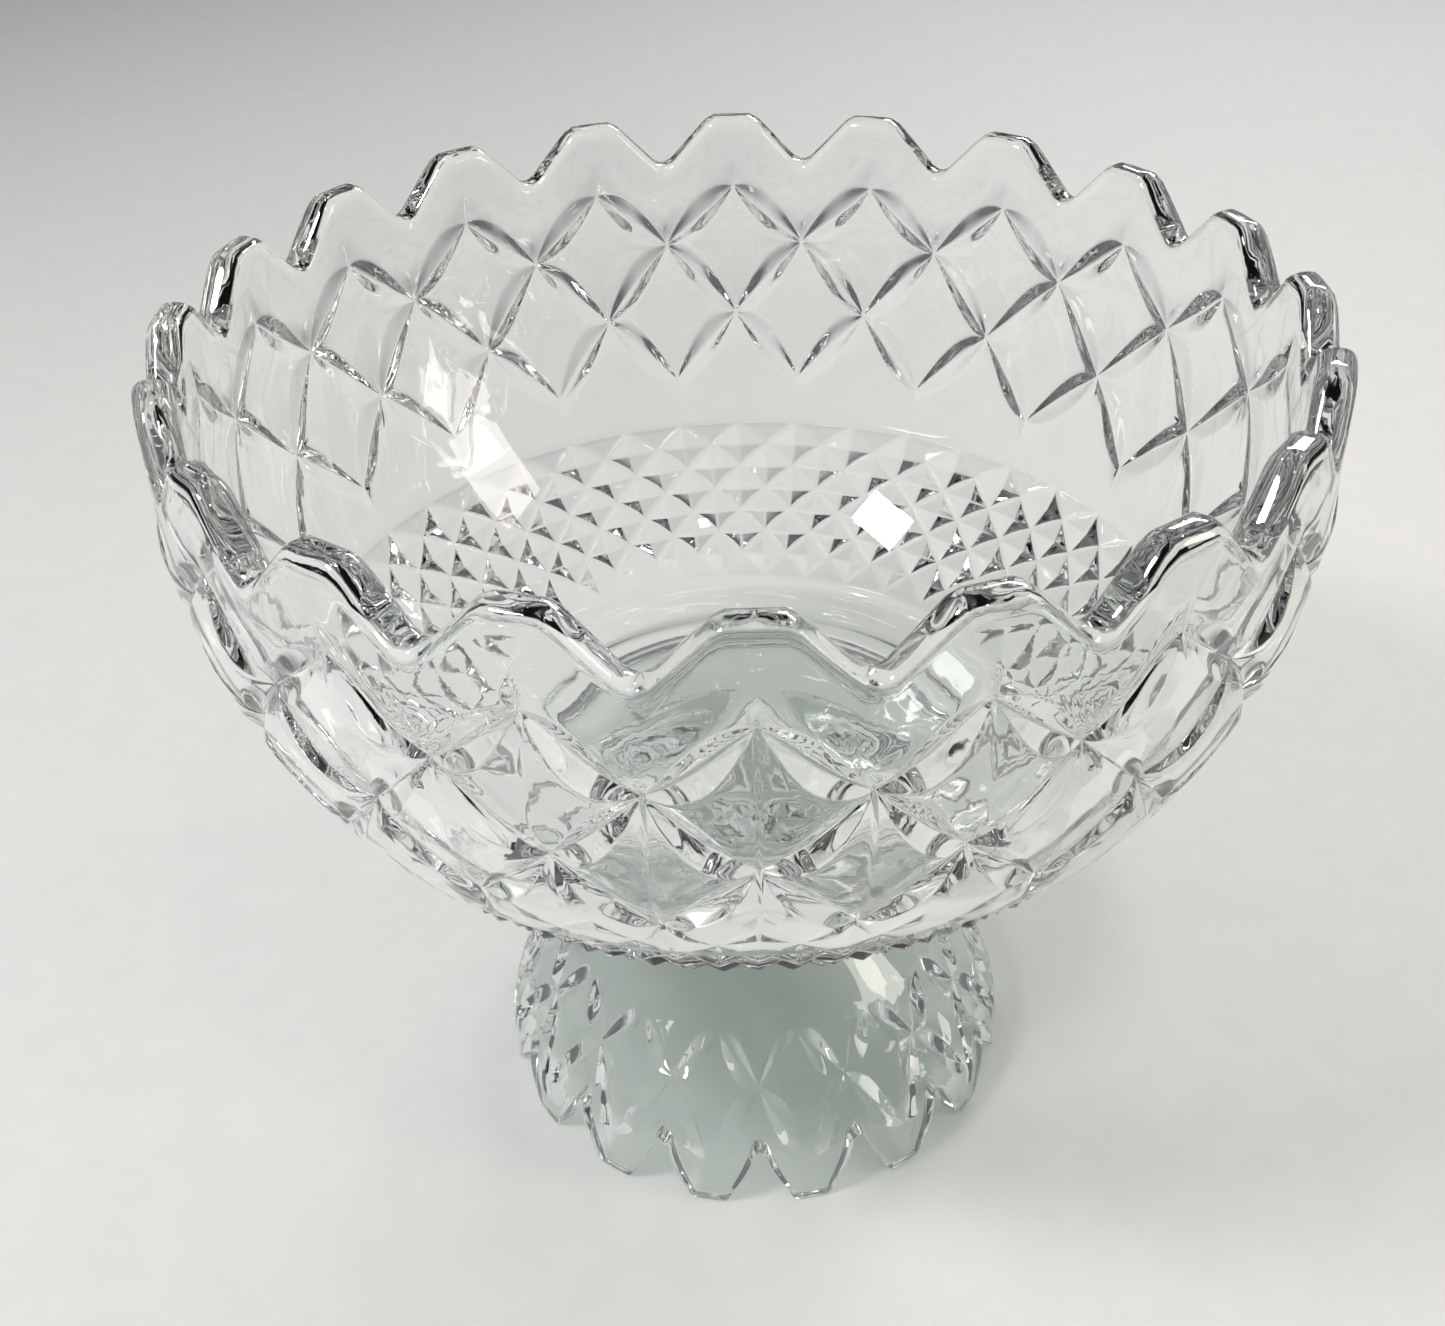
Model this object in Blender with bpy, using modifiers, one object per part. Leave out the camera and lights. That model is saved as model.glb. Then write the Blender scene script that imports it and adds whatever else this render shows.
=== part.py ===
"""Pressed-glass punch bowl that lifts off its own pedestal stand.

Metres, +Z up. The origin is on the table, under the middle of the stand.
A turn is an angle about +Z, counted from the front (-Y) towards the right (+X).
"""

import math

import bmesh
import bpy
from mathutils import Matrix, Vector

MM = 0.001

# Whole object
TOTAL_HEIGHT = 255 * MM
STAND_HEIGHT = 104 * MM
SEAT_GAP = 0.3 * MM

# Bowl: outer and inner walls are arcs about one centre on the axis
BALL_CENTRE_Z = 232 * MM
OUTER_BALL = 152.5 * MM
INNER_BALL = 142 * MM
SCALLOPS = 20
SCALLOP_DEPTH = 15 * MM
HILL_SHARE = 0.16
SCALLOP_STEPS = 8
RIM_MID_RADIUS = 146 * MM
RIM_THICKNESS = 9.6 * MM
RIM_ARC_STEPS = 4
FLOOR_Z = 115 * MM
PLAIN_SEGMENTS = 80
INNER_RINGS = 7
INNER_START_ANGLE = math.radians(88)

# Bowl: large diamonds in two staggered rows, between two zigzags
LATTICE_HEIGHTS = (231 * MM, 211 * MM, 187 * MM, 165.5 * MM)
LATTICE_DEPTHS = (1.5 * MM, 5 * MM, 5 * MM, 1.5 * MM)
CUT_HALF_WIDTH = 6 * MM
CUT_HALF_HEIGHT = 6.5 * MM

# Bowl: belt of small diamond points
POINTS_ROUND = 40
POINT_ROWS = 6
POINT_HEIGHT = 3.6 * MM
BAND_ANGLE = math.radians(60.5)
BELT_TOP_ANGLE = math.radians(58.0)
BELT_BOTTOM_ANGLE = math.radians(37.0)

# Bowl: foot ring, which drops over the flange of the stand
FOOT_OUTER = 70 * MM
FOOT_INNER = 61.5 * MM
FOOT_HEIGHT = 4.5 * MM
FOOT_DRAFT = 1.2 * MM

# Stand
FLANGE_RADIUS = 60 * MM
FLANGE_THICKNESS = 8 * MM
FLANGE_BEVEL = 1.5 * MM
NECK_RADIUS = 38 * MM
NECK_FLARE = 6 * MM
HEM_RADIUS = 79 * MM
HEM_THICKNESS = 6.5 * MM
CEILING_Z = 91 * MM
CEILING_BEVEL = 3 * MM
CEILING_RADIUS = 25 * MM
STAND_SEGMENTS = 64
CURVE_STEPS = 2
TEETH = 16
TOOTH_HEIGHT = 19 * MM
TOOTH_FLAT = 10 * MM
NOTCH_TOP = 4 * MM
NOTCH_BEVEL = 1.5 * MM
LEAF_HALF_WIDTH = 3.6 * MM
LEAF_DEPTH = 3.6 * MM
LEAF_END_GAP = 1.2 * MM
LEAF_TOP = (58.5 * MM, 49 * MM)
LEAF_CROSSING = (66.5 * MM, 36 * MM)
LEAF_BOTTOM = (77.7 * MM, 17 * MM)


# ---------------------------------------------------------------- places

def place(radius, turn, height):
    """The point at this distance from the axis, turn and height."""
    return Vector((radius * math.sin(turn), -radius * math.cos(turn), height))


def ball_radius(ball, height):
    """How far from the axis a ball about the bowl's centre is at a height. Upright above it."""
    below = max(BALL_CENTRE_Z - height, 0.0)
    return math.sqrt(ball * ball - below * below)


def on_ball(ball, angle):
    """(radius, height) on a ball, at an angle from straight down."""
    return ball * math.sin(angle), BALL_CENTRE_Z - ball * math.cos(angle)


def crest_height(turn):
    """Height of the scalloped rim: flat-topped hills, and tighter rounded valleys."""
    phase = abs((turn * SCALLOPS / math.tau + 0.5) % 1.0 - 0.5) * 2
    down = max(phase - HILL_SHARE, 0.0) / (1 - HILL_SHARE)
    return TOTAL_HEIGHT - SCALLOP_DEPTH * (1 - math.cos(math.pi * down)) / 2


# ---------------------------------------------------------------- lofting

def ring(bm, radius, height, count):
    """Points evenly round the axis from the front. The height is a number or a function of turn."""
    points = []
    for step in range(count):
        turn = math.tau * step / count
        z = height(turn) if callable(height) else height
        points.append(bm.verts.new(place(radius, turn, z)))
    return points


def stitch(bm, first, second):
    """Joins two rings that start at the same turn. One count is a multiple of the other."""
    many, few = (first, second) if len(first) >= len(second) else (second, first)
    share = len(many) // len(few)
    for i, here in enumerate(few):
        after = few[(i + 1) % len(few)]
        fan = [many[(i * share + k) % len(many)] for k in range(share + 1)]
        if share == 1:
            bm.faces.new((here, after, fan[1], fan[0]))
            continue
        middle = share // 2
        for k in range(share):
            near = here if k < middle else after
            bm.faces.new((near, fan[k], fan[k + 1]))
        bm.faces.new((here, fan[middle], after))


def stitch_all(bm, rings):
    for first, second in zip(rings, rings[1:]):
        stitch(bm, first, second)


def close_disc(bm, edge, height):
    """Fills a ring with triangles round a middle point."""
    middle = bm.verts.new((0, 0, height))
    for here, after in zip(edge, edge[1:] + edge[:1]):
        bm.faces.new((middle, here, after))


def net(bm, columns, levels):
    """Points at every other crossing of columns and levels, keyed by (row, column)."""
    points = {}
    for row, (radius, height) in enumerate(levels):
        for column in range(row % 2, columns, 2):
            turn = math.tau * column / columns
            points[row, column] = bm.verts.new(place(radius, turn, height))
    return points


def diamonds(points, columns, rows):
    """(row, column, left, right, top, bottom) of each diamond of a net centred in these rows."""
    for row in rows:
        for column in range((row + 1) % 2, columns, 2):
            left = points[row, (column - 1) % columns]
            right = points[row, (column + 1) % columns]
            yield row, column, left, right, points[row - 1, column], points[row + 1, column]


# ---------------------------------------------------------------- bowl

def rim(bm):
    """The rounded rim, over the crest. Gives its outer and its inner edge."""
    rings = []
    half = RIM_THICKNESS / 2
    for step in range(RIM_ARC_STEPS + 1):
        angle = math.pi * step / RIM_ARC_STEPS
        drop = half * (1 - math.sin(angle))
        radius = RIM_MID_RADIUS + half * math.cos(angle)
        count = SCALLOPS * SCALLOP_STEPS
        rings.append(ring(bm, radius, lambda turn: crest_height(turn) - drop, count))
    stitch_all(bm, rings)
    return rings[0], rings[-1]


def inner_wall(bm, rim_edge):
    """The smooth inside, from the rim down to the flat floor."""
    floor_angle = math.acos((BALL_CENTRE_Z - FLOOR_Z) / INNER_BALL)
    rings = [rim_edge]
    for step in range(INNER_RINGS):
        share = step / (INNER_RINGS - 1)
        angle = INNER_START_ANGLE + (floor_angle - INNER_START_ANGLE) * share
        rings.append(ring(bm, *on_ball(INNER_BALL, angle), PLAIN_SEGMENTS))
    stitch_all(bm, rings)
    close_disc(bm, rings[-1], FLOOR_Z)


def cut_diamond(bm, row, turn, left, right, top, bottom):
    """One large diamond: four low facets, and the cuts that narrow its two side corners."""
    height = LATTICE_HEIGHTS[row]
    radius = ball_radius(OUTER_BALL, height)
    half_turn = math.pi / SCALLOPS - CUT_HALF_WIDTH / radius
    middle = bm.verts.new(place(radius, turn, height))
    for corner, side in ((left, -half_turn), (right, half_turn)):
        inner = bm.verts.new(place(radius, turn + side, height))
        for end in (top, bottom):
            bm.faces.new((middle, inner, end))
            bm.faces.new((inner, corner, end))


def band_edge(bm, points, row, next_row):
    """Cuts a plain band's edge back from each deep crossing of a row. Gives the zigzag edge."""
    columns = 2 * SCALLOPS
    height = LATTICE_HEIGHTS[row] + (row - next_row) * CUT_HALF_HEIGHT
    radius = ball_radius(OUTER_BALL, height)
    edge = {}
    for column in range(row % 2, columns, 2):
        corner = bm.verts.new(place(radius, math.tau * column / columns, height))
        edge[column] = corner
        for tip_column in ((column - 1) % columns, (column + 1) % columns):
            tip = points[next_row, tip_column]
            edge[tip_column] = tip
            bm.faces.new((corner, points[row, column], tip))
    return [edge[column] for column in range(columns)]


def lattice(bm):
    """Two staggered rows of large diamonds. Gives the zigzag edges above and below."""
    columns = 2 * SCALLOPS
    levels = [
        (ball_radius(OUTER_BALL, height) - depth, height)
        for height, depth in zip(LATTICE_HEIGHTS, LATTICE_DEPTHS)
    ]
    points = net(bm, columns, levels)
    for row, column, *corners in diamonds(points, columns, (1, 2)):
        cut_diamond(bm, row, math.tau * column / columns, *corners)
    return band_edge(bm, points, 1, 0), band_edge(bm, points, 2, 3)


def point_belt(bm):
    """The belt of small diamond points. Gives its top and bottom edges."""
    columns = 2 * POINTS_ROUND
    last = POINT_ROWS + 1
    levels = []
    for row in range(last + 1):
        angle = BELT_TOP_ANGLE + (BELT_BOTTOM_ANGLE - BELT_TOP_ANGLE) * row / last
        sunk = POINT_HEIGHT if 0 < row < last else 0.0
        levels.append(on_ball(OUTER_BALL - sunk, angle))
    points = net(bm, columns, levels)
    cells = []
    for _, _, left, right, top, bottom in diamonds(points, columns, range(1, last)):
        cells.append(bm.faces.new((left, bottom, right, top)))
    for row, inward in ((0, 1), (last, -1)):
        for column in range(row % 2, columns, 2):
            after = points[row, (column + 2) % columns]
            low = points[row + inward, (column + 1) % columns]
            bm.faces.new((points[row, column], after, low))
    bm.normal_update()
    bmesh.ops.poke(bm, faces=cells, offset=POINT_HEIGHT)
    edges = []
    for row in (0, last):
        edges.append([points[row, column] for column in range(row % 2, columns, 2)])
    return edges


def underside(bm, belt_edge):
    """From the belt of points to the foot ring, and the recess that sits on the stand."""
    foot_top = on_ball(OUTER_BALL, math.asin((FOOT_OUTER + FOOT_DRAFT) / OUTER_BALL))
    recess_z = STAND_HEIGHT + SEAT_GAP
    foot_z = recess_z - FOOT_HEIGHT
    rings = [
        belt_edge,
        ring(bm, foot_top[0], max(foot_top[1], recess_z), PLAIN_SEGMENTS),
        ring(bm, FOOT_OUTER, foot_z, PLAIN_SEGMENTS),
        ring(bm, FOOT_INNER + FOOT_DRAFT, foot_z, PLAIN_SEGMENTS),
        ring(bm, FOOT_INNER, recess_z, PLAIN_SEGMENTS),
    ]
    stitch_all(bm, rings)
    close_disc(bm, rings[-1], recess_z)


def bowl_mesh():
    bm = bmesh.new()
    belt_top, belt_bottom = point_belt(bm)
    outer_edge, inner_edge = rim(bm)
    upper_zigzag, lower_zigzag = lattice(bm)
    stitch(bm, outer_edge, upper_zigzag)
    band = ring(bm, *on_ball(OUTER_BALL, BAND_ANGLE), PLAIN_SEGMENTS)
    stitch_all(bm, [lower_zigzag, band, belt_top])
    inner_wall(bm, inner_edge)
    underside(bm, belt_bottom)
    bmesh.ops.recalc_face_normals(bm, faces=bm.faces)
    return finish_mesh(bm, "bowl")


# ---------------------------------------------------------------- stand

def rounded(corners):
    """A smooth line through points of the profile, a few steps to each stretch."""
    ends = [corners[0], *corners, corners[-1]]
    line = []
    for before, start, end, after in zip(ends, ends[1:], ends[2:], ends[3:]):
        for step in range(CURVE_STEPS):
            t = step / CURVE_STEPS
            line.append(tuple(
                0.5 * (2 * b + (c - a) * t + (2 * a - 5 * b + 4 * c - d) * t**2
                       + (3 * b - a - 3 * c + d) * t**3)
                for a, b, c, d in zip(before, start, end, after)
            ))
    line.append(corners[-1])
    return line


def stand_profile():
    """(radius, height) from the middle of the top, down the outside, and up inside."""
    top = STAND_HEIGHT
    flare = NECK_RADIUS + NECK_FLARE
    skirt = rounded([
        (flare, top - 12 * MM),
        (NECK_RADIUS, top - 24 * MM),
        (flare, top - 40 * MM),
        LEAF_TOP,
        LEAF_CROSSING,
        LEAF_BOTTOM,
        (HEM_RADIUS, 0),
    ])
    inner_hem = HEM_RADIUS - HEM_THICKNESS
    hollow = rounded([
        (inner_hem, 0),
        (inner_hem - 2 * MM, LEAF_BOTTOM[1]),
        (LEAF_CROSSING[0] - 9 * MM, LEAF_CROSSING[1] - 2 * MM),
        (LEAF_TOP[0] - 13 * MM, LEAF_TOP[1] - 2 * MM),
        (CEILING_RADIUS + 2 * MM, CEILING_Z - 22 * MM),
        (CEILING_RADIUS, CEILING_Z - CEILING_BEVEL),
    ])
    flange = [
        (0, top),
        (FLANGE_RADIUS - FLANGE_BEVEL, top),
        (FLANGE_RADIUS, top - FLANGE_BEVEL),
        (FLANGE_RADIUS, top - FLANGE_THICKNESS + 2 * MM),
        (FLANGE_RADIUS - 3 * MM, top - FLANGE_THICKNESS),
    ]
    ceiling = [(CEILING_RADIUS - CEILING_BEVEL, CEILING_Z), (0, CEILING_Z)]
    return flange + skirt + hollow + ceiling


def turned(name, profile, segments):
    """An object turned about +Z from a (radius, height) profile by a Screw modifier."""
    mesh = bpy.data.meshes.new(name)
    points = [(radius, 0, height) for radius, height in profile]
    mesh.from_pydata(points, [(i, i + 1) for i in range(len(points) - 1)], [])
    obj = bpy.data.objects.new(name, mesh)
    screw = obj.modifiers.new("Turn", "SCREW")
    screw.axis = "Z"
    screw.steps = segments
    screw.render_steps = segments
    screw.use_merge_vertices = True
    screw.merge_threshold = 0.00001
    screw.use_smooth_shade = True
    return obj


def notch_cutter():
    """Blocks that cut the gaps between the teeth, one at each half turn of a tooth."""
    bm = bmesh.new()
    pitch = math.tau * HEM_RADIUS / TEETH
    low, high = (pitch - TOOTH_FLAT) / 2, NOTCH_TOP / 2
    skew = (low - high) / TOOTH_HEIGHT
    outline = [
        (low + skew * MM, -MM),
        (high, TOOTH_HEIGHT - NOTCH_BEVEL),
        (high / 2, TOOTH_HEIGHT),
        (-high / 2, TOOTH_HEIGHT),
        (-high, TOOTH_HEIGHT - NOTCH_BEVEL),
        (-low - skew * MM, -MM),
    ]
    near = HEM_RADIUS - 4 * HEM_THICKNESS
    face = bm.faces.new([bm.verts.new((x, -near, z)) for x, z in outline])
    grown = bmesh.ops.extrude_face_region(bm, geom=[face])["geom"]
    moved = [part for part in grown if isinstance(part, bmesh.types.BMVert)]
    bmesh.ops.translate(bm, verts=moved, vec=(0, near - HEM_RADIUS - HEM_THICKNESS, 0))
    spread_round(bm, TEETH)
    return cutter_object(bm, "notch_cutter")


def leaf_cutter():
    """Pointed lozenges that sink the cuts of the stand's diamonds, four to each diamond."""
    bm = bmesh.new()
    half_pitch = math.pi / TEETH
    for end_turn in (-half_pitch, half_pitch):
        for end in (LEAF_TOP, LEAF_BOTTOM):
            leaf(bm, place(end[0], 0, end[1]), place(LEAF_CROSSING[0], end_turn, LEAF_CROSSING[1]))
    spread_round(bm, TEETH)
    return cutter_object(bm, "leaf_cutter")


def leaf(bm, start, end):
    """An eight-sided lozenge along a line near the surface, pointed at both ends."""
    along = (end - start).normalized()
    outward = Vector((start.x + end.x, start.y + end.y, LEAF_CROSSING[0])).normalized()
    across = along.cross(outward).normalized()
    deep = across.cross(along)
    half_length = (end - start).length / 2 - LEAF_END_GAP
    columns = (across * LEAF_HALF_WIDTH, deep * LEAF_DEPTH, along * half_length)
    frame = Matrix.Translation((start + end) / 2) @ Matrix(columns).transposed().to_4x4()
    bmesh.ops.create_uvsphere(bm, u_segments=4, v_segments=2, radius=1, matrix=frame)


def spread_round(bm, count):
    """Repeats what the mesh holds evenly about +Z."""
    bmesh.ops.spin(
        bm, geom=bm.verts[:] + bm.edges[:] + bm.faces[:], cent=(0, 0, 0), axis=(0, 0, 1),
        angle=math.tau * (count - 1) / count, steps=count - 1, use_duplicate=True,
    )


def stand_object(cutters):
    obj = turned("stand", stand_profile(), STAND_SEGMENTS)
    for cutter in cutters:
        cut = obj.modifiers.new(cutter.name, "BOOLEAN")
        cut.operation = "DIFFERENCE"
        cut.solver = "EXACT"
        cut.object = cutter
    return obj


# ---------------------------------------------------------------- scene

def finish_mesh(bm, name):
    mesh = bpy.data.meshes.new(name)
    bm.to_mesh(mesh)
    bm.free()
    mesh.shade_smooth()
    mesh.set_sharp_from_angle(angle=math.radians(24))
    return mesh


def cutter_object(bm, name):
    bmesh.ops.recalc_face_normals(bm, faces=bm.faces)
    obj = bpy.data.objects.new(name, finish_mesh(bm, name))
    obj.hide_render = True
    obj.display_type = "WIRE"
    return obj


def pressed_glass(name, tint):
    material = bpy.data.materials.new(name)
    material.use_nodes = True
    shader = material.node_tree.nodes["Principled BSDF"]
    shader.inputs["Base Color"].default_value = (*tint, 1)
    shader.inputs["Roughness"].default_value = 0.03
    shader.inputs["Metallic"].default_value = 0
    shader.inputs["IOR"].default_value = 1.51
    shader.inputs["Transmission Weight"].default_value = 1
    return material


def collection(name):
    found = bpy.data.collections.new(name)
    bpy.context.scene.collection.children.link(found)
    return found


def main():
    for obj in list(bpy.data.objects):
        bpy.data.objects.remove(obj, do_unlink=True)
    parts = collection("punch_bowl")
    helpers = collection("cutters")

    notches = notch_cutter()
    leaves = leaf_cutter()
    # A gap between two teeth faces the front, and each diamond is over a tooth
    leaves.rotation_euler.z = math.pi / TEETH
    stand = stand_object((notches, leaves))
    stand.data.materials.append(pressed_glass("stand_glass", (0.93, 0.965, 0.95)))

    bowl = bpy.data.objects.new("bowl", bowl_mesh())
    bowl.data.materials.append(pressed_glass("bowl_glass", (0.95, 0.975, 0.965)))
    bowl.data.transform(Matrix.Translation((0, 0, -STAND_HEIGHT)))
    lift_axis = bpy.data.objects.new("bowl_lift_axis", None)
    lift_axis.location.z = STAND_HEIGHT
    bowl.parent = lift_axis

    for obj in (stand, bowl, lift_axis):
        parts.objects.link(obj)
    for obj in (notches, leaves):
        helpers.objects.link(obj)


main()
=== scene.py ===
"""Looks of the pressed-glass punch bowl on its stand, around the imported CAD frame.

Metres, +Z up, origin on the table under the middle of the stand. Shapes are worked out in
millimetres. A turn is an angle about +Z, from the front (-Y) towards the right (+X).
"""

import math

import bmesh
import bpy
import numpy as np
from mathutils import Matrix, Vector


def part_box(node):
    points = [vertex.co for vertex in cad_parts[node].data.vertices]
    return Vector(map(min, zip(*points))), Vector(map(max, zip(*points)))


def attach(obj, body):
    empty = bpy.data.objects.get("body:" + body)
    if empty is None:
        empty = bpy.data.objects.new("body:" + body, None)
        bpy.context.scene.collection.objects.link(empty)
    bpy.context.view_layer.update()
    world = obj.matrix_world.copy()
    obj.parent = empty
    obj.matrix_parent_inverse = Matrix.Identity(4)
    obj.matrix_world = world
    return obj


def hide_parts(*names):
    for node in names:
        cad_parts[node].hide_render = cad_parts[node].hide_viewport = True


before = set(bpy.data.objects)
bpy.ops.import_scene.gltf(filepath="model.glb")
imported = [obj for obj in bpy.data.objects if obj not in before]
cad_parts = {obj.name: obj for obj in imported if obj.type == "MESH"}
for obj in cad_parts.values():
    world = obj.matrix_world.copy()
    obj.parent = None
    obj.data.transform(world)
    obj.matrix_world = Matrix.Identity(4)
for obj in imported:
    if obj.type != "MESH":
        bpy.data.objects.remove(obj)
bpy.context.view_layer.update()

MM = 0.001
TOTAL_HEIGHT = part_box("bowl")[1].z / MM
STAND_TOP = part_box("stand")[1].z / MM

# Bowl
BALL_CENTRE_Z = 232.0
OUTER_BALL = 152.5
INNER_BALL = 142.0
RIM_MID_RADIUS = 146.0
RIM_HALF = 4.8
RIM_ROUNDING = 0.8
RIM_STEPS = 14
# From this height up, the wall leans from the ball's radius to the rim's
LEAN_START_Z = 214.0
LEAN_TALL = 17.0
SCALLOPS = 20
SCALLOP_DEPTH = 15.0
# Along the crest, in shares of a half repeat: where the fall begins and how gently it ends
FALL_START = 0.2
FALL_ROUNDING = 0.22
VALLEY_START = 0.84
VALLEY_ROUNDING = 0.16
LATTICE_HEIGHTS = (231.0, 211.0, 187.0, 165.5)
NODE_DEPTHS = (1.5, 4.0, 4.0, 1.5)
NODE_SHARPNESS = 1.6
DIP_FADE_ABOVE = 10.0
DIP_FADE_BELOW = 8.0
LEAF_WIDTH = 5.2
LEAF_WIDTH_POWER = 0.9
LEAF_DEPTH = 3.3
SEAM_TURN = 171
SEAM_HEIGHT = 0.3
BELT_TOP = math.radians(58.0)
BELT_BOTTOM = math.radians(37.0)
BELT_HALF_ROWS = 7
POINT_HEIGHT = 3.6
POINT_TIP = 0.97
FLOOR_Z = 115.0
FLOOR_EDGE_ROUNDING = 1.0
# Rows this many radians inside the floor's edge are quite flat
FLOOR_FLAT_MARGIN = 0.08
# Degrees up the inside of the ball, from its lowest point
FLOOR_AND_WALL_ANGLES = (
    29, 31, 32.6, 33.7, 34.5, 35.3, 36.5, 38.5, 41, 44, 48, 54, 61, 68, 75, 82,
)
RECESS_Z = STAND_TOP + 0.3
# How far the foot ring's lower face is below the recess
FOOT_RING_DROP = 4.5
# Radius, and height above that face
FOOT_OUTLINE = (
    (89.6, 9.1), (86.0, 7.5), (81.0, 5.9), (76.0, 4.9), (73.2, 4.5), (71.6, 3.7), (70.8, 2.6),
    (70.4, 1.4), (69.9, 0.5), (69.0, 0), (66.2, 0), (63.6, 0), (62.7, 0.5), (62.3, 1.4),
    (61.9, 3.1), (61.5, 4.1), (60.6, FOOT_RING_DROP), (56.0, FOOT_RING_DROP),
)

# Stand
TEETH = 16
STAND_TOPS = 49.0
STAND_CROSSINGS = 36.0
STAND_BOTTOMS = 17.0
STAND_LEAF_WIDTH = 4.2
STAND_LEAF_DEPTH = 3.2
# The cuts stand steeply, so that they are taller than they are wide
UPPER_STRETCH = 1.35
LOWER_STRETCH = 1.55
STAND_CUTS_TOP = 56.0
TOOTH_HEIGHT = 19.0
CEILING_Z = 91.0
# Radius, and distance under the stand's top
FLANGE_OUTLINE = (
    (52, 0), (57.4, 0), (58.8, 0.3), (59.7, 1.2), (60, 2.4), (60, 4.6), (59.7, 6.0), (58.9, 7.1),
)
# Radius, and distance under the hollow's ceiling
CEILING_EDGE = ((24.6, 1.9), (23.6, 0.9), (22, 0.25), (20, 0))
SKIRT_HEIGHTS = (
    96.4, 95.6, 94.5, 93.0, 91.0, 88.6, 86.0, 83.0, 80.0, 77.0, 73.5, 70.0, 66.5, 63.0, 60.0, 57.5,
)
HOLLOW_HEIGHTS = (26, 30, 34, 38, 42, 46, 50, 54, 58, 62, 66, 70, 75, 80, 84, 88)
# The toothed hem, from a notch to a tooth: where, and how high as a share of a tooth
TOOTH_SHARES = (0, 0.06, 0.12, 0.17, 0.22, 0.62, 0.66, 0.70, 1)
TOOTH_RISES = (1, 0.99, 0.94, 0.85, 0.735, 0.065, 0.02, 0, 0)
# How far the hem's two edges are rounded upwards
HEM_LIFT = 1.0
# Across the hem's lower face: share of the way from the outer wall to the inner, and lift
HEM_SECTION = (
    (0, HEM_LIFT), (0.03, 0.45), (0.1, 0.1), (0.2, 0), (0.5, 0), (0.8, 0), (0.9, 0.1),
    (0.97, 0.45), (1, HEM_LIFT),
)

# Where lines of points lie in one half repeat, so that cuts and points have crisp edges
HALF_STEPS = np.array([0, 0.08, 0.26, 0.5, 0.74, 0.92, 1.0])
COLUMN_STEPS = np.concatenate([HALF_STEPS / 2, 0.5 + HALF_STEPS[1:] / 2])
STAND_STEPS = np.array([0, 0.05, 0.1, 0.15, 0.22, 0.32, 0.42, 0.52, 0.62, 0.68, 0.74, 0.86, 1.0])
# A leaf cut's cross-section, from its bottom line to just past its edge
LEAF_LINES = np.array([0, 0.12, 0.3, 0.6, 0.88, 1.0, 1.15])
LEAF_SECTION = np.array([0.93, 0.85, 0.70, 0.40, 0.125, 0.035, 0.0])
# How much of the gap between two cuts, or between a cut and a plain edge, one cut may fill
SHARED_GAP = 0.5
LONE_GAP = 0.9
# A surface's slope is measured this far above and below a point
SLOPE_REACH = 0.05

# Flat ends are closed by rings of half as many points each, then a fan
RING_SHRINK = 0.7
FAN_LIMIT = 15
# Points that agree to one ten-thousandth of a millimetre are made one
WELD_PER_MM = 1e4

# Looks
SHADOW_COLOUR = (0.76, 0.80, 0.785)
FLOOR_RADIUS = 4.0
FLOOR_GAP = 0.0002
WORLD_COLOUR = (0.62, 0.66, 0.70)
WORLD_STRENGTH = 0.2
SOFT_WARM = (1, 0.93, 0.84)
LAMP_WARM = (1, 0.82, 0.58)
LAMP_PLACES = ((0.25, -0.7, 1.6), (-0.35, 0.5, 1.7), (0.9, 0.4, 1.5))
LIGHT_TARGET = (0, 0, 0.15)

# Camera, from the fit to the photograph
CAMERA_PLACE = (-0.0046, -0.4150, 0.4347)
CAMERA_FORWARD = (-0.0041, 0.8389, -0.5443)
CAMERA_UP = (0.0262, 0.5442, 0.8386)
CAMERA_LENS = 43.6
CAMERA_SENSOR = 36
CAMERA_SHIFT = -0.05


# ---------------------------------------------------------------- columns and rows

def smoothstep(x):
    x = np.clip(x, 0, 1)
    return x * x * (3 - 2 * x)


def columns(halves, steps):
    """(turn, wave) of each line of points: the wave goes 0, 1, 0 over two half repeats.

    Every second half repeat has its steps in reverse, so that both flanks are alike.
    """
    turns, waves = [], []
    for half in range(halves):
        backwards = half % 2 == 1
        row = 1 - steps[::-1] if backwards else steps
        for step in row[:-1]:
            turns.append(math.tau * (half + step) / halves)
            waves.append(1 - step if backwards else step)
    return np.array(turns), np.array(waves)


def crest_drop():
    """The crest's fall from its peak, against the wave: flat hills and straight flanks."""
    phase = np.linspace(0, 1, 401)
    fall = smoothstep((phase - FALL_START) / FALL_ROUNDING)
    slope = fall * (1 - smoothstep((phase - VALLEY_START) / VALLEY_ROUNDING))
    total = np.cumsum(slope)
    return phase, (total - total[0]) / (total[-1] - total[0])


def leaf_rows(edge, other, width, shared):
    """Rows across one side of a cut, from its line towards another line or a plain edge.

    Gives (height, share of the cut's depth) for each row, and the height they take up. Where
    the gap is shared, a second cut comes from its other side.
    """
    gap = other - edge
    sign = np.sign(gap.mean())
    limit = np.abs(gap) / LEAF_LINES[-1] * (SHARED_GAP if shared else LONE_GAP)
    near = np.minimum(width, limit)
    rows = [(edge + sign * near * x, share) for x, share in zip(LEAF_LINES, LEAF_SECTION)]
    return rows, near * LEAF_LINES[-1] * sign


def between(start, end, count):
    """Evenly spaced rows between two lines of heights, without the lines themselves."""
    return [start + (end - start) * i / (count + 1) for i in range(1, count + 1)]


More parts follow.
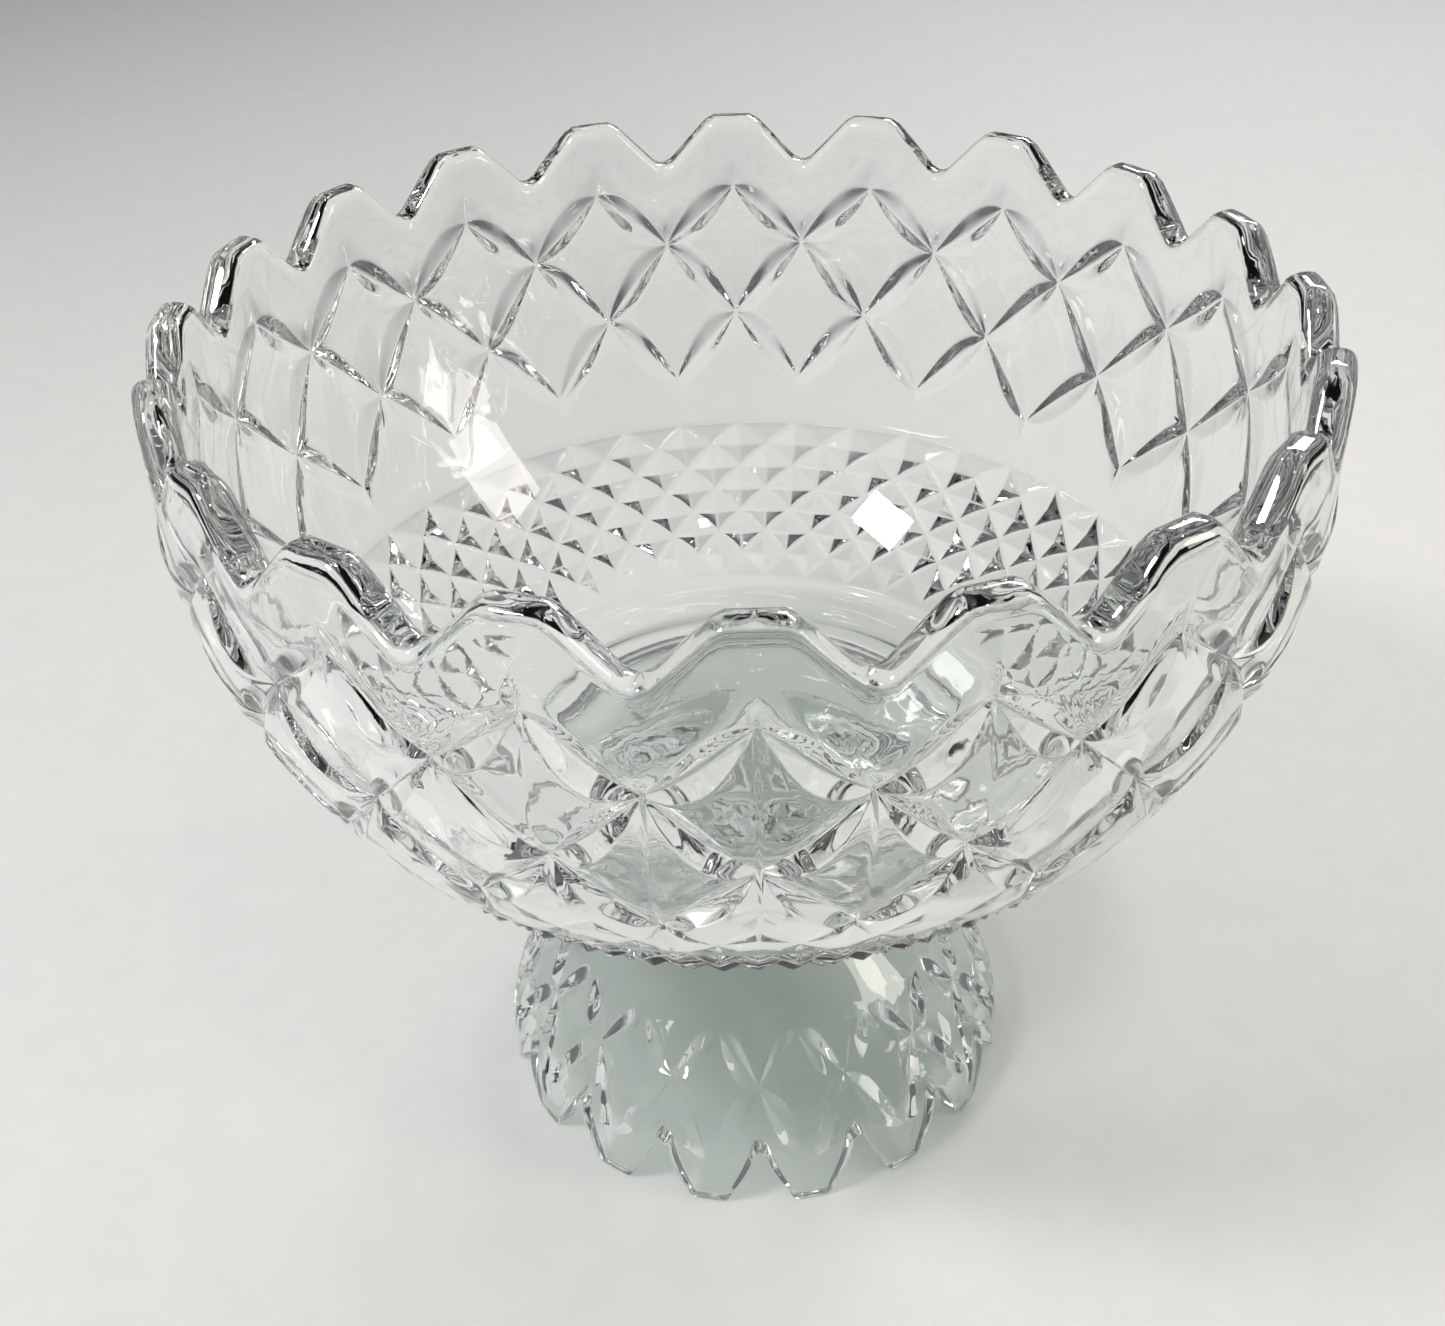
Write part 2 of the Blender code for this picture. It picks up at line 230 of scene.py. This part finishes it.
class Sheet:
    """Rows of points round the axis, joined into one skin."""

    def __init__(self, turns):
        self.turns = turns
        self.rows = []
        self.creases = []

    def add(self, radius, height, crease=None):
        """One row. Its radius and height are numbers or one value per column.

        The quads before it are split where a crease is given, along the diagonal that it picks.
        """
        ones = np.ones(len(self.turns))
        radius, height = radius * ones, height * ones
        x, y = radius * np.sin(self.turns), -radius * np.cos(self.turns)
        self.rows.append(np.stack([x, y, height], 1))
        self.creases.append(crease)

    def add_sunk(self, radius_at, height, depth):
        """A row on the surface radius_at(height), sunk by a depth at right angles to it."""
        height = height * np.ones(len(self.turns))
        rise = radius_at(height + SLOPE_REACH) - radius_at(height - SLOPE_REACH)
        slope = rise / (2 * SLOPE_REACH)
        scale = np.sqrt(1 + slope * slope)
        radius = radius_at(height) - depth / scale
        self.add(radius, height + depth * slope / scale)

    def mesh(self, name, start_z, end_z):
        """The skin, closed at both ends by flat discs at these heights."""
        count = len(self.turns)
        points = list(self.rows)
        faces = []
        for i, crease in enumerate(self.creases[1:]):
            for j in range(count):
                a, b = i * count + j, i * count + (j + 1) % count
                c, d = b + count, a + count
                if crease is None:
                    faces.append((a, b, c, d))
                elif crease[j]:
                    faces += [(a, b, c), (a, c, d)]
                else:
                    faces += [(a, b, d), (b, c, d)]
        total = len(self.rows) * count
        for edge, z, flip in ((0, start_z, False), ((len(self.rows) - 1) * count, end_z, True)):
            ring = [edge + j for j in range(count)]
            radius = np.hypot(*points[edge // count][0, :2])
            while len(ring) % 2 == 0 and len(ring) > FAN_LIMIT:
                radius *= RING_SHRINK
                turns = self.turns[:: count // (len(ring) // 2)]
                inner = [total + j for j in range(len(turns))]
                x, y = radius * np.sin(turns), -radius * np.cos(turns)
                points.append(np.stack([x, y, z * np.ones(len(turns))], 1))
                total += len(turns)
                for j, here in enumerate(inner):
                    after = inner[(j + 1) % len(inner)]
                    low, mid, high = (ring[(2 * j + k) % len(ring)] for k in range(3))
                    found = [(low, mid, here), (here, mid, after), (mid, high, after)]
                    faces += [face[::-1] for face in found] if flip else found
                ring = inner
            points.append(np.array([[0, 0, z]]))
            for j, here in enumerate(ring):
                face = (here, ring[(j + 1) % len(ring)], total)
                faces.append(face[::-1] if flip else face)
            total += 1
        return welded(name, np.concatenate(points), faces)


def welded(name, points, faces):
    """A mesh object with coincident points made one and collapsed faces dropped."""
    keys = np.round(points * WELD_PER_MM).astype(np.int64)
    _, first, index = np.unique(keys, axis=0, return_index=True, return_inverse=True)
    index = index.reshape(-1)
    kept = []
    for face in faces:
        corners = [int(index[i]) for i in face]
        corners = [c for c, before in zip(corners, corners[-1:] + corners[:-1]) if c != before]
        if len(corners) > 2 and len(set(corners)) == len(corners):
            kept.append(corners)
    mesh = bpy.data.meshes.new(name)
    mesh.from_pydata((points[first] * MM).tolist(), [], kept)
    bm = bmesh.new()
    bm.from_mesh(mesh)
    bmesh.ops.recalc_face_normals(bm, faces=bm.faces)
    bm.to_mesh(mesh)
    bm.free()
    mesh.shade_smooth()
    obj = bpy.data.objects.new(name, mesh)
    bpy.context.scene.collection.objects.link(obj)
    return obj


# ---------------------------------------------------------------- bowl

def ball_radius(ball, height):
    below = np.maximum(BALL_CENTRE_Z - height, 0)
    return np.sqrt(ball * ball - below * below)


def leaning_radius(ball, rim_radius, height):
    lean = smoothstep((height - LEAN_START_Z) / LEAN_TALL)
    return ball_radius(ball, height) + (rim_radius - ball) * lean


def outer_radius(height):
    """The bowl's plain outer surface, which comes in a little under the rim."""
    return leaning_radius(OUTER_BALL, RIM_MID_RADIUS + RIM_HALF, height)


def inner_radius(height):
    return leaning_radius(INNER_BALL, RIM_MID_RADIUS - RIM_HALF, height)


def node_dip(wave, start, end):
    """How far the line of a cut is sunk by the two crossings at its ends."""
    return (start + (end - start) * wave) * np.abs(2 * wave - 1) ** NODE_SHARPNESS


def inner_side(sheet, crest):
    """Floor, its faint round edge, and the smooth wall up to the rim."""
    floor_angle = math.acos((BALL_CENTRE_Z - FLOOR_Z) / INNER_BALL)
    for angle in map(math.radians, FLOOR_AND_WALL_ANGLES):
        above = BALL_CENTRE_Z - INNER_BALL * math.cos(angle) - FLOOR_Z
        height = FLOOR_Z + (above + math.hypot(above, FLOOR_EDGE_ROUNDING)) / 2
        if angle < floor_angle - FLOOR_FLAT_MARGIN:
            height = FLOOR_Z
        sheet.add(INNER_BALL * math.sin(angle), height)
    start = BALL_CENTRE_Z - INNER_BALL * math.cos(math.radians(FLOOR_AND_WALL_ANGLES[-1]))
    for height in between(start, crest - RIM_HALF, count=5):
        sheet.add(inner_radius(height), height)


def rim(sheet, crest):
    """The thick rounded rim."""
    for step in range(RIM_STEPS + 1):
        angle = math.pi * (1 - step / RIM_STEPS)
        side = math.copysign(abs(math.cos(angle)) ** RIM_ROUNDING, math.cos(angle))
        top = math.sin(angle) ** RIM_ROUNDING
        sheet.add(RIM_MID_RADIUS + RIM_HALF * side, crest - RIM_HALF * (1 - top))


def diamond_dip(across, down, top, side, bottom):
    """How far a large diamond's surface is sunk towards its four corners."""
    up = (1 - 2 * down) * (1 - across)
    corner = np.where(up > 0, top, bottom)
    deep = across * side + (1 - across) * corner
    return deep * np.abs(across**2 - up**2) ** NODE_SHARPNESS


def lattice(sheet, wave, crest):
    """From under the rim to the bottom of the lower zigzag: leaf cuts and smooth diamonds."""
    h0, h1, h2, h3 = LATTICE_HEIGHTS
    d0, d1, d2, d3 = NODE_DEPTHS
    lines = (
        (h0 + (h1 - h0) * wave, node_dip(wave, d0, d1)),
        (h2 + (h1 - h2) * wave, node_dip(wave, d2, d1)),
        (h2 + (h3 - h2) * wave, node_dip(wave, d2, d3)),
    )
    swell = np.sin(np.pi * wave)
    lean = math.cos(math.atan2(h0 - h1, math.tau * OUTER_BALL / SCALLOPS / 2))
    width = LEAF_WIDTH / lean * np.maximum(swell, 0) ** LEAF_WIDTH_POWER
    depth = LEAF_DEPTH * swell
    top = crest - RIM_HALF

    line, dip = lines[0]
    rows, used = leaf_rows(line, top, width, False)
    for height in between(top, line + used, count=7):
        fade = 1 - smoothstep((height - line) / DIP_FADE_ABOVE)
        sheet.add_sunk(outer_radius, height, dip * fade)
    for height, share in rows[:0:-1]:
        fade = 1 - smoothstep((height - line) / DIP_FADE_ABOVE)
        sheet.add_sunk(outer_radius, height, dip * fade + depth * share)
    sheet.add_sunk(outer_radius, line, dip + depth * LEAF_SECTION[0])

    corners = ((d0, d1, d2, False), (d1, d2, d3, True))
    for (upper, _), (lower, lower_dip), (high, side, low, flip) in zip(lines, lines[1:], corners):
        across = 1 - wave if flip else wave
        tall = np.maximum(upper - lower, 1e-6)
        first, used_top = leaf_rows(upper, lower, width, True)
        last, used_bottom = leaf_rows(lower, upper, width, True)
        inside = between(upper + used_top, lower + used_bottom, count=5)
        rows = first[1:] + [(height, 0.0) for height in inside] + last[:0:-1]
        for height, share in rows:
            down = (upper - height) / tall
            dip = diamond_dip(across, down, high, side, low)
            sheet.add_sunk(outer_radius, height, dip + depth * share)
        sheet.add_sunk(outer_radius, lower, lower_dip + depth * LEAF_SECTION[0])

    line, dip = lines[2]
    bottom = BALL_CENTRE_Z - OUTER_BALL * math.cos(BELT_TOP)
    rows, used = leaf_rows(line, bottom, width, False)
    for height, share in rows[1:]:
        fade = 1 - smoothstep((line - height) / DIP_FADE_BELOW)
        sheet.add_sunk(outer_radius, height, dip * fade + depth * share)
    on_seam = np.isclose(np.degrees(sheet.turns) % 180, SEAM_TURN)
    seam = np.where(on_seam, SEAM_HEIGHT, 0)
    for height in between(line + used, bottom, count=5):
        fade = 1 - smoothstep((line - height) / DIP_FADE_BELOW)
        sheet.add_sunk(outer_radius, height, dip * fade - seam)


def belt(sheet):
    """The belt of small four-sided points, with run-out facets along its two edges."""
    count = len(sheet.turns)
    pitch = len(HALF_STEPS) - 1
    cell = np.arange(count) // pitch
    across = np.tile(HALF_STEPS[:-1], count // pitch)
    last = BELT_HALF_ROWS - 1
    for row in range(BELT_HALF_ROWS):
        low_left = (row + cell) % 2 == 0
        side = np.where(low_left, across, 1 - across)
        for step, down in enumerate(HALF_STEPS):
            if step == pitch and row < last:
                continue
            if row == 0:
                share = 1 - np.minimum(side, down)
            elif row == last:
                share = np.maximum(side, down)
            else:
                share = np.abs(side - down)
            angle = BELT_TOP + (BELT_BOTTOM - BELT_TOP) * (row + down) / BELT_HALF_ROWS
            ball = OUTER_BALL - POINT_HEIGHT * (1 - POINT_TIP * share)
            # The cut between two low points runs along the quads' diagonals. A half row's
            # first line ends the quads of the half row above, whose diagonals go the other way
            crease = low_left if step > 0 else ~low_left
            if row == 0 and step == 0:
                ball, crease = OUTER_BALL, None
            elif step == pitch:
                ball = OUTER_BALL
            sheet.add(ball * math.sin(angle), BALL_CENTRE_Z - ball * math.cos(angle), crease)


def foot(sheet):
    """Plain glass under the belt, the foot ring, and the recess above the stand's flange."""
    for radius, up in FOOT_OUTLINE:
        sheet.add(radius, RECESS_Z - FOOT_RING_DROP + up)


def bowl():
    turns, wave = columns(2 * SCALLOPS, COLUMN_STEPS)
    crest = TOTAL_HEIGHT - SCALLOP_DEPTH * np.interp(wave, *crest_drop())
    sheet = Sheet(turns)
    inner_side(sheet, crest)
    rim(sheet, crest)
    lattice(sheet, wave, crest)
    belt(sheet)
    foot(sheet)
    return sheet.mesh("bowl_pressed_glass", FLOOR_Z, RECESS_Z)


# ---------------------------------------------------------------- stand

def smooth_line(corners, steps=10):
    """Points along a Catmull-Rom line through the corners."""
    ends = np.array([corners[0], *corners, corners[-1]], float)
    t = np.linspace(0, 1, steps, endpoint=False)[:, None]
    parts = []
    for a, b, c, d in zip(ends, ends[1:], ends[2:], ends[3:]):
        parts.append(0.5 * (2 * b + (c - a) * t + (2 * a - 5 * b + 4 * c - d) * t**2
                            + (3 * b - a - 3 * c + d) * t**3))
    return np.concatenate(parts + [ends[-1:]])


SKIRT = smooth_line([
    (79, 0), (77.7, STAND_BOTTOMS), (66.5, STAND_CROSSINGS), (58.5, STAND_TOPS), (46, 62),
    (39.2, 72), (38, 80), (41.5, 88), (49, 93.8), (57.5, 96.4),
])
HOLLOW = smooth_line([
    (72.5, 0), (70.5, 17), (57.5, 34), (45.5, 47), (30, 64), (25.5, 74), (25, 88),
])


def skirt_radius(height):
    return np.interp(height, SKIRT[:, 1], SKIRT[:, 0])


def hollow_radius(height):
    return np.interp(height, HOLLOW[:, 1], HOLLOW[:, 0])


def tooth_edge(wave):
    """Height of the toothed hem: 0 under each tooth, and a rounded notch between two."""
    return np.interp(wave, TOOTH_SHARES, TOOTH_RISES) * TOOTH_HEIGHT


def stand_lattice(sheet, wave, hem):
    """The skirt's tall diamonds, which leaf cuts draw."""
    upper = STAND_CROSSINGS + (STAND_TOPS - STAND_CROSSINGS) * wave
    lower = STAND_CROSSINGS + (STAND_BOTTOMS - STAND_CROSSINGS) * wave
    swell = np.sin(np.pi * wave)
    width_up = STAND_LEAF_WIDTH * UPPER_STRETCH * swell
    width_low = STAND_LEAF_WIDTH * LOWER_STRETCH * swell
    depth = STAND_LEAF_DEPTH * swell

    rows, used = leaf_rows(upper, STAND_CUTS_TOP, width_up, False)
    for height in between(STAND_CUTS_TOP, upper + used, count=4):
        sheet.add_sunk(skirt_radius, height, 0)
    for height, share in rows[:0:-1]:
        sheet.add_sunk(skirt_radius, height, depth * share)
    sheet.add_sunk(skirt_radius, upper, depth * LEAF_SECTION[0])

    first, used_top = leaf_rows(upper, lower, width_up, True)
    last, used_bottom = leaf_rows(lower, upper, width_low, True)
    inside = between(upper + used_top, lower + used_bottom, count=5)
    rows = first[1:] + [(height, 0.0) for height in inside] + last[:0:-1]
    for height, share in rows:
        sheet.add_sunk(skirt_radius, height, depth * share)
    sheet.add_sunk(skirt_radius, lower, depth * LEAF_SECTION[0])

    rows, used = leaf_rows(lower, hem, width_low, False)
    for height, share in rows[1:]:
        sheet.add_sunk(skirt_radius, height, depth * share)
    for height in between(lower + used, hem, count=4):
        sheet.add_sunk(skirt_radius, height, 0)


def stand():
    turns, wave = columns(2 * TEETH, STAND_STEPS)
    sheet = Sheet(turns)
    for radius, down in FLANGE_OUTLINE:
        sheet.add(radius, STAND_TOP - down)
    for height in SKIRT_HEIGHTS:
        sheet.add(skirt_radius(height), height)
    edge = tooth_edge(wave)
    hem = edge + HEM_LIFT
    stand_lattice(sheet, wave, hem)
    for share, lift in HEM_SECTION:
        height = edge + lift
        outer, inner = skirt_radius(height), hollow_radius(height)
        sheet.add(outer + (inner - outer) * share, height)
    for height in between(hem, HOLLOW_HEIGHTS[0], count=4):
        sheet.add(hollow_radius(height), height)
    for height in HOLLOW_HEIGHTS:
        sheet.add(hollow_radius(height), height)
    for radius, down in CEILING_EDGE:
        sheet.add(radius, CEILING_Z - down)
    return sheet.mesh("stand_pressed_glass", STAND_TOP, CEILING_Z)


# ---------------------------------------------------------------- materials

def node(tree, kind, **inputs):
    """A shader node with its constant inputs set. An underscore stands for a space."""
    made = tree.nodes.new(kind)
    for key, value in inputs.items():
        made.inputs[key.replace("_", " ")].default_value = value
    return made


def pressed_glass(name, tint, seed):
    """Colourless pressed glass: faint flow lines, small ripples, and a polish that varies."""
    material = bpy.data.materials.new(name)
    material.use_nodes = True
    tree = material.node_tree
    tree.nodes.clear()
    link = tree.links.new
    place = tree.nodes.new("ShaderNodeTexCoord")
    moved = node(tree, "ShaderNodeMapping", Location=(seed, seed * 0.7, seed * 1.3))
    link(place.outputs["Object"], moved.inputs["Vector"])

    ripple = node(tree, "ShaderNodeTexNoise", Scale=55, Detail=2, Roughness=0.4)
    link(moved.outputs["Vector"], ripple.inputs["Vector"])
    flow = node(tree, "ShaderNodeTexNoise", Scale=14, Detail=1, Roughness=0.3, Distortion=1.4)
    link(moved.outputs["Vector"], flow.inputs["Vector"])
    chill = node(tree, "ShaderNodeTexNoise", Scale=420, Detail=3, Roughness=0.55)
    link(moved.outputs["Vector"], chill.inputs["Vector"])

    wide = node(tree, "ShaderNodeBump", Strength=0.3, Distance=0.0006)
    link(flow.outputs["Fac"], wide.inputs["Height"])
    small = node(tree, "ShaderNodeBump", Strength=0.25, Distance=0.00015)
    link(ripple.outputs["Fac"], small.inputs["Height"])
    link(wide.outputs["Normal"], small.inputs["Normal"])
    skin = node(tree, "ShaderNodeBump", Strength=0.1, Distance=0.00004)
    link(chill.outputs["Fac"], skin.inputs["Height"])
    link(small.outputs["Normal"], skin.inputs["Normal"])

    polish = node(tree, "ShaderNodeMapRange", From_Min=0.35, From_Max=0.75, To_Min=0, To_Max=0.014)
    link(ripple.outputs["Fac"], polish.inputs["Value"])

    shader = tree.nodes.new("ShaderNodeBsdfPrincipled")
    shader.inputs["Base Color"].default_value = (*tint, 1)
    shader.inputs["IOR"].default_value = 1.52
    shader.inputs["Transmission Weight"].default_value = 1
    link(polish.outputs["Result"], shader.inputs["Roughness"])
    link(skin.outputs["Normal"], shader.inputs["Normal"])

    path = tree.nodes.new("ShaderNodeLightPath")
    clear = tree.nodes.new("ShaderNodeBsdfTransparent")
    clear.inputs["Color"].default_value = (*SHADOW_COLOUR, 1)
    mix = tree.nodes.new("ShaderNodeMixShader")
    link(path.outputs["Is Shadow Ray"], mix.inputs[0])
    link(shader.outputs[0], mix.inputs[1])
    link(clear.outputs[0], mix.inputs[2])
    out = tree.nodes.new("ShaderNodeOutputMaterial")
    link(mix.outputs[0], out.inputs["Surface"])
    return material


def pale_floor(name):
    """A plain pale tabletop with a faint mottle."""
    material = bpy.data.materials.new(name)
    material.use_nodes = True
    tree = material.node_tree
    shader = tree.nodes["Principled BSDF"]
    shader.inputs["Roughness"].default_value = 0.55
    place = tree.nodes.new("ShaderNodeTexCoord")
    grain = node(tree, "ShaderNodeTexNoise", Scale=60, Detail=4, Roughness=0.6)
    ramp = node(tree, "ShaderNodeMapRange", To_Min=0.60, To_Max=0.66)
    tree.links.new(place.outputs["Object"], grain.inputs["Vector"])
    tree.links.new(grain.outputs["Fac"], ramp.inputs["Value"])
    tree.links.new(ramp.outputs["Result"], shader.inputs["Base Color"])
    return material


# ---------------------------------------------------------------- stage, light and camera

def stage():
    mesh = bpy.data.meshes.new("floor")
    bm = bmesh.new()
    bmesh.ops.create_circle(bm, cap_ends=True, segments=96, radius=FLOOR_RADIUS)
    bm.to_mesh(mesh)
    bm.free()
    floor = bpy.data.objects.new("floor", mesh)
    floor.location.z = -FLOOR_GAP
    floor.data.materials.append(pale_floor("pale_floor"))
    bpy.context.scene.collection.objects.link(floor)


def softbox(name, place, size, power, colour=(1, 1, 1)):
    """A rectangular lamp of a size in metres and a power in watts, aimed at the bowl."""
    data = bpy.data.lights.new(name, "AREA")
    data.shape = "RECTANGLE"
    data.size, data.size_y = size
    data.energy = power
    data.color = colour
    lamp = bpy.data.objects.new(name, data)
    lamp.location = place
    aim = Vector(LIGHT_TARGET) - Vector(place)
    lamp.rotation_euler = aim.to_track_quat("-Z", "Y").to_euler()
    bpy.context.scene.collection.objects.link(lamp)


def lights():
    world = bpy.data.worlds.new("studio")
    world.use_nodes = True
    background = world.node_tree.nodes["Background"]
    background.inputs["Color"].default_value = (*WORLD_COLOUR, 1)
    background.inputs["Strength"].default_value = WORLD_STRENGTH
    bpy.context.scene.world = world
    softbox("key", (-0.9, -0.5, 1.5), (0.4, 0.26), 27)
    softbox("back", (0.75, 1.5, 1.2), (0.9, 0.3), 15)
    softbox("side", (1.4, -0.3, 0.7), (0.4, 0.9), 7, SOFT_WARM)
    for i, place in enumerate(LAMP_PLACES):
        softbox(f"lamp_{i}", place, (0.06, 0.06), 2.0, LAMP_WARM)


def camera():
    data = bpy.data.cameras.new("camera")
    data.sensor_width = CAMERA_SENSOR
    data.lens = CAMERA_LENS
    data.shift_y = CAMERA_SHIFT
    forward = Vector(CAMERA_FORWARD).normalized()
    up = Vector(CAMERA_UP)
    right = forward.cross(up).normalized()
    up = right.cross(forward)
    turned = Matrix((right, up, -forward)).transposed().to_4x4()
    cam = bpy.data.objects.new("camera", data)
    cam.matrix_world = Matrix.Translation(CAMERA_PLACE) @ turned
    bpy.context.scene.collection.objects.link(cam)
    bpy.context.scene.camera = cam


def dress(piece, node_name, material):
    """Give a piece its glass, and put it in its CAD node's place."""
    piece.data.materials.append(material)
    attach(piece, node_name)
    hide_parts(node_name)


bowl_glass = pressed_glass("bowl_glass_look", (0.965, 0.985, 0.975), seed=0.3)
stand_glass = pressed_glass("stand_glass_look", (0.955, 0.98, 0.968), seed=1.7)
dress(bowl(), "bowl", bowl_glass)
dress(stand(), "stand", stand_glass)
stage()
lights()
camera()

cycles = bpy.context.scene.cycles
cycles.max_bounces = 20
cycles.transmission_bounces = 20
cycles.transparent_max_bounces = 16
cycles.glossy_bounces = 8
cycles.sample_clamp_indirect = 8
cycles.caustics_refractive = False
cycles.caustics_reflective = False
bpy.context.scene.view_settings.view_transform = "Standard"
